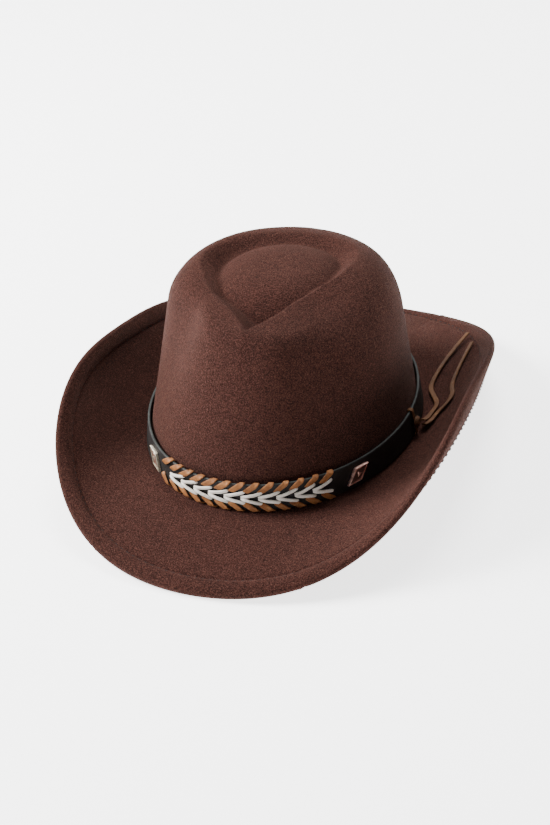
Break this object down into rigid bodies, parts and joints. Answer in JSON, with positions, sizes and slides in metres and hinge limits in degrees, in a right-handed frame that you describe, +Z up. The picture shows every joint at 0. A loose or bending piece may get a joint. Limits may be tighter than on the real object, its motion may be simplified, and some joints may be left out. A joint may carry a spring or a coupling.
{
  "type": "western felt hat",
  "caption": "Brown felt western hat with a creased teardrop crown, a curled stitched brim and a dark leather hatband with laced edges, diamond conchos and a tied lace.",
  "frame": {"origin": "on the table under the middle of the hat's bounding box", "axes": "+Z up along the crown, front of the hat towards -Y, wearer's left towards +X"},
  "size_m": [0.2554, 0.34, 0.1188],
  "materials": {
    "felt": "brushed wool felt nap",
    "wire": "drawn wire",
    "dark_thread": "waxed sewing thread",
    "sweat_leather": "thin smooth leather",
    "strap_leather": "smooth dyed leather with a burnished edge",
    "tan_lace": "flat cut leather lace",
    "white_lace": "flat white leather lace",
    "concho_metal": "worn copper-toned plating",
    "screw_metal": "plain nickel",
    "brown_lace": "flat suede-cut leather lace"
  },
  "bodies": {
    "hat": {"crown": "felt", "brim": "felt", "brim_wire": "wire", "hem_stitching": "dark_thread", "sweatband": "sweat_leather", "sweatband_stitching": "dark_thread"},
    "hatband": {"band_strap": "strap_leather", "top_edge_lacing": "tan_lace", "bottom_edge_lacing": "tan_lace", "chevron_lacing": "white_lace", "concho_left": "concho_metal", "concho_right": "concho_metal", "concho_screw_left": "screw_metal", "concho_screw_right": "screw_metal", "tie_loop": "brown_lace", "tie_knot": "brown_lace", "lace_tail_inner": "brown_lace", "lace_tail_outer": "brown_lace"}
  },
  "joints": [
    {"name": "band_lift", "type": "slide", "parent": "hat", "child": "hatband", "axis": [0, 0, 1], "range_m": [0, 0.13]}
  ]
}
